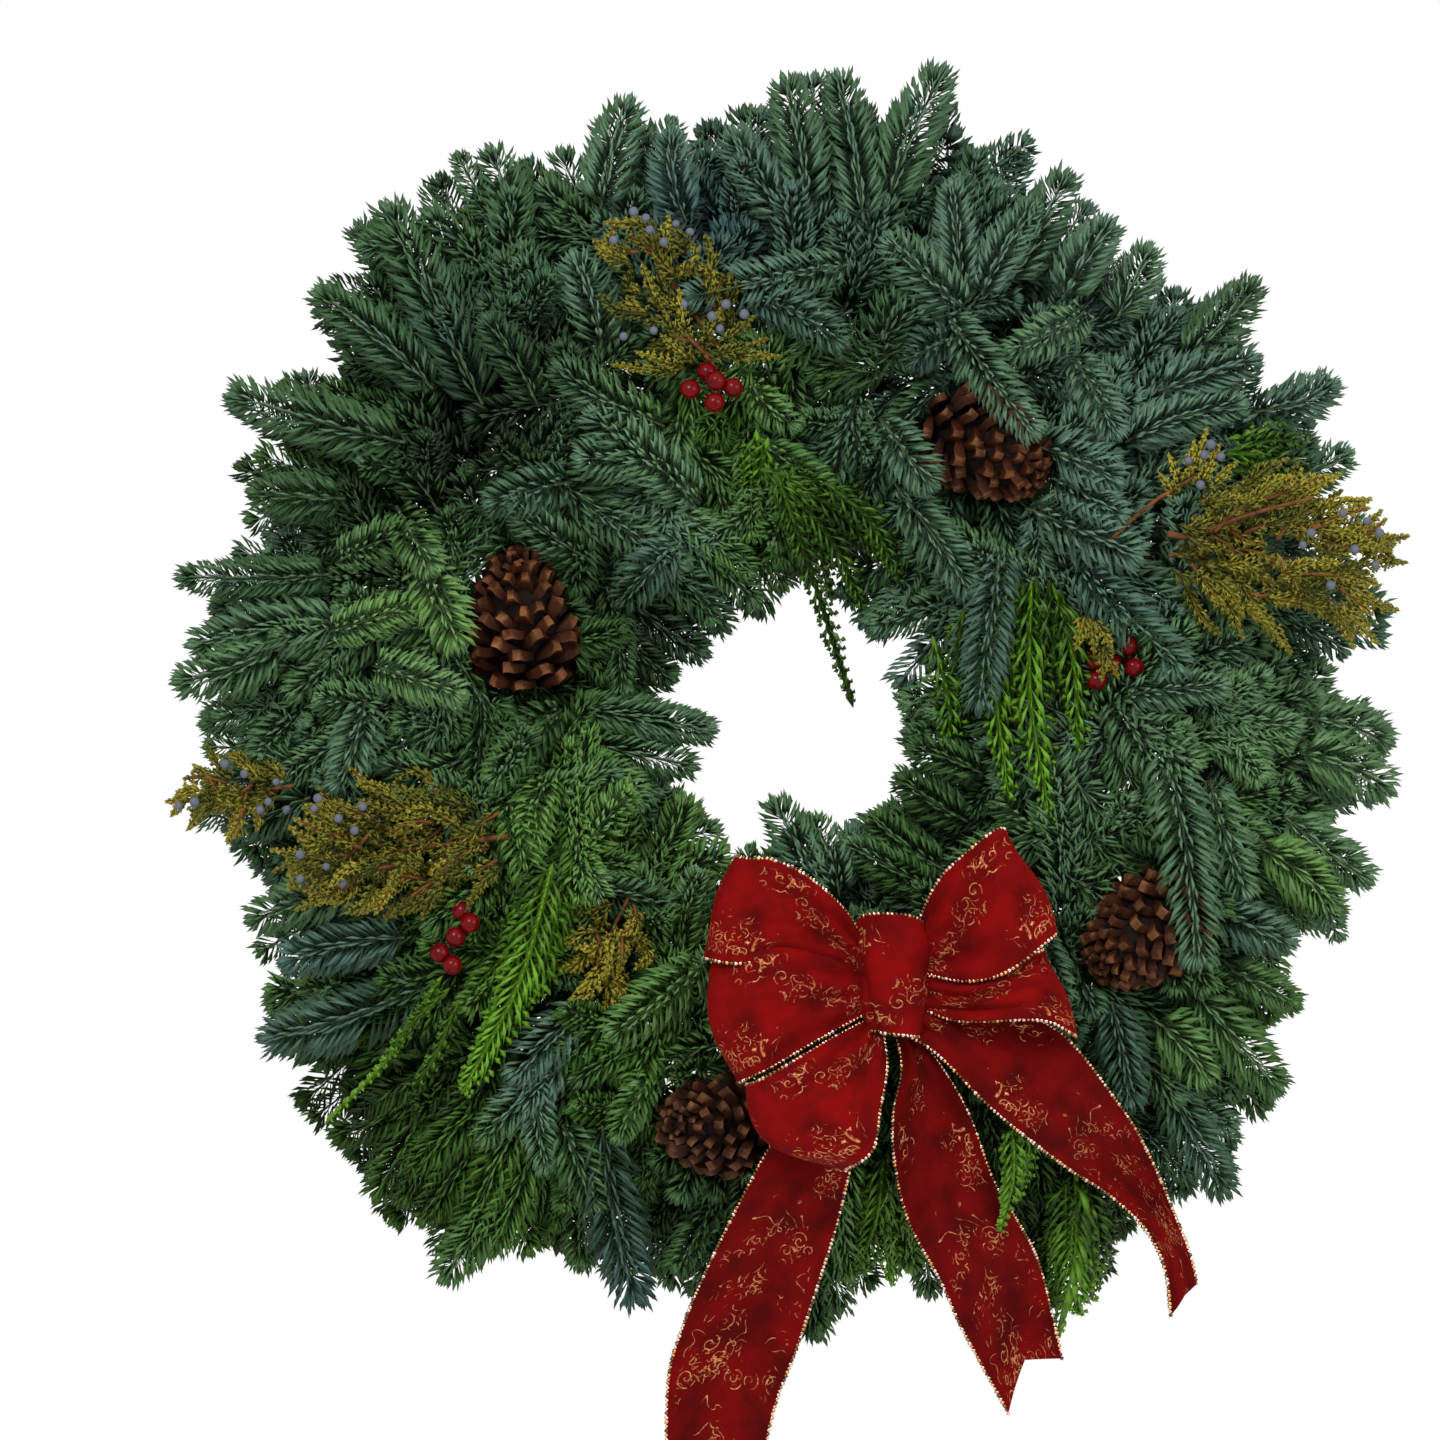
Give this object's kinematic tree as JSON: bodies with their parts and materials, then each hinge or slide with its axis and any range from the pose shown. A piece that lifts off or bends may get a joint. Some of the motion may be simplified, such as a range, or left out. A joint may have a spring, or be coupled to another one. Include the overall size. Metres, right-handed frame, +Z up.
{
  "type": "christmas wreath",
  "caption": "Evergreen door wreath on a wire ring with cedar, juniper, pine cones, red berries and a wide red ribbon bow, hung by a wire loop.",
  "frame": {"origin": "where the hook carries the hanging loop, at the top back", "axes": "+Z up as it hangs; front faces -Y; +Y out of the back towards the door; +X to the right seen from the front"},
  "size_m": [0.6273, 0.1648, 0.748],
  "materials": {
    "fir": "waxy living fir needles on brown twigs",
    "cedar": "fresh green flat scaly fronds",
    "juniper": "olive yellow sprays with pale blue berries",
    "cone": "dry brown scales with paler tips",
    "berry": "red gloss lacquer",
    "velvet": "red velvet ribbon with gold wire edge",
    "green_wire": "green enamelled steel wire",
    "steel_wire": "bare florist wire"
  },
  "bodies": {
    "root": {"wire_ring": "green_wire", "binding_wire": "green_wire", "hanging_loop": "steel_wire", "fir_bunch_01": "fir", "fir_bunch_02": "fir", "fir_bunch_03": "fir", "fir_bunch_04": "fir", "fir_bunch_05": "fir", "fir_bunch_06": "fir", "fir_bunch_07": "fir", "fir_bunch_08": "fir", "fir_bunch_09": "fir", "fir_bunch_10": "fir", "fir_bunch_11": "fir", "fir_bunch_12": "fir", "fir_bunch_13": "fir", "fir_bunch_14": "fir", "fir_bunch_15": "fir", "fir_bunch_16": "fir", "fir_bunch_17": "fir", "fir_bunch_18": "fir", "cedar_top_fan": "cedar", "cedar_right_spray": "cedar", "cedar_left_frond": "cedar", "cedar_left_trail": "cedar", "cedar_under_bow": "cedar", "cedar_low_right": "cedar", "cedar_right_tips": "cedar", "juniper_top": "juniper", "juniper_right": "juniper", "juniper_left": "juniper", "juniper_left_edge": "juniper", "juniper_low_tuft": "juniper", "pine_cone_left": "cone", "pine_cone_upper_right": "cone", "pine_cone_right": "cone", "pine_cone_bottom": "cone", "cone_wire_left": "steel_wire", "cone_wire_upper_right": "steel_wire", "cone_wire_right": "steel_wire", "cone_wire_bottom": "steel_wire", "berry_pick_top": "berry", "berry_pick_left": "berry", "berry_pick_right": "berry", "bow_knot": "velvet", "bow_loop_upper_left": "velvet", "bow_loop_middle_left": "velvet", "bow_loop_bottom": "velvet", "bow_loop_upper_right": "velvet", "bow_loop_lower_right": "velvet", "bow_tail_left": "velvet", "bow_tail_middle": "velvet", "bow_tail_right": "velvet", "bow_tie_wire": "steel_wire"}
  },
  "joints": []
}
